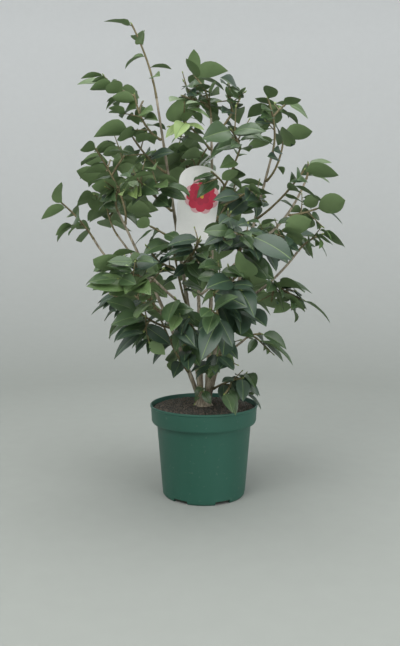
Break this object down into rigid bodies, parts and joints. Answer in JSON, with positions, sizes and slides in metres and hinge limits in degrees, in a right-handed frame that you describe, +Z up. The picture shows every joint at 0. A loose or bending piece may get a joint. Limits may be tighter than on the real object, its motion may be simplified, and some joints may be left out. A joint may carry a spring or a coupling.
{
  "type": "potted camellia shrub",
  "caption": "Evergreen shrub of several stems that rise from one root crown, with boughs and masses of glossy oval leaves, in a round tapered nursery pot filled with growing medium.",
  "frame": {"origin": "centre of the flat underside of the pot, on the surface that it stands on", "axes": "+Z up, +X to the right and -Y to the front, the side that the plant label hangs on"},
  "size_m": [0.611, 0.5592, 0.933],
  "materials": {
    "pot": "satin",
    "medium": "matte",
    "bark": "matte",
    "foliage": "satin",
    "label": "satin",
    "strap": "satin"
  },
  "bodies": {
    "root": {"pot": "pot", "growing_medium": "medium", "root_crown": "bark", "stem_right": "bark", "stem_centre": "bark", "stem_back": "bark", "stem_left": "bark", "stem_leader": "bark", "stem_front": "bark", "bough_far_left": "bark", "bough_right_out": "bark", "bough_right_arm": "bark", "bough_right_low": "bark", "bough_front_left": "bark", "bough_back_left": "bark", "bough_back_right": "bark", "foliage_whip": "foliage", "foliage_upper_left": "foliage", "foliage_leader_side": "foliage", "foliage_left_shoulder": "foliage", "foliage_left_outer": "foliage", "foliage_left_inner": "foliage", "foliage_far_left": "foliage", "foliage_left_side": "foliage", "foliage_left_low": "foliage", "foliage_bottom_left": "foliage", "foliage_front_left": "foliage", "foliage_front_left_low": "foliage", "foliage_front_low": "foliage", "foliage_middle": "foliage", "foliage_heart": "foliage", "foliage_top": "foliage", "foliage_upper_centre": "foliage", "foliage_upper_flank": "foliage", "foliage_upper_right": "foliage", "foliage_right_top": "foliage", "foliage_right_shoulder": "foliage", "foliage_right_inner": "foliage", "foliage_right_middle": "foliage", "foliage_right_outer": "foliage", "foliage_right_side": "foliage", "foliage_right_arm": "foliage", "foliage_right_low": "foliage", "foliage_front_right": "foliage", "foliage_front_centre": "foliage", "foliage_bottom_right": "foliage", "foliage_bottom_centre": "foliage", "foliage_rim": "foliage", "foliage_foot": "foliage", "foliage_back_top": "foliage", "foliage_back_upper": "foliage", "foliage_back_left": "foliage", "foliage_back_right": "foliage", "foliage_back_centre": "foliage", "foliage_back_left_low": "foliage", "foliage_back_right_low": "foliage", "foliage_back_low": "foliage", "foliage_right_flank": "foliage", "plant_label": "label", "label_strap": "strap"}
  },
  "joints": []
}
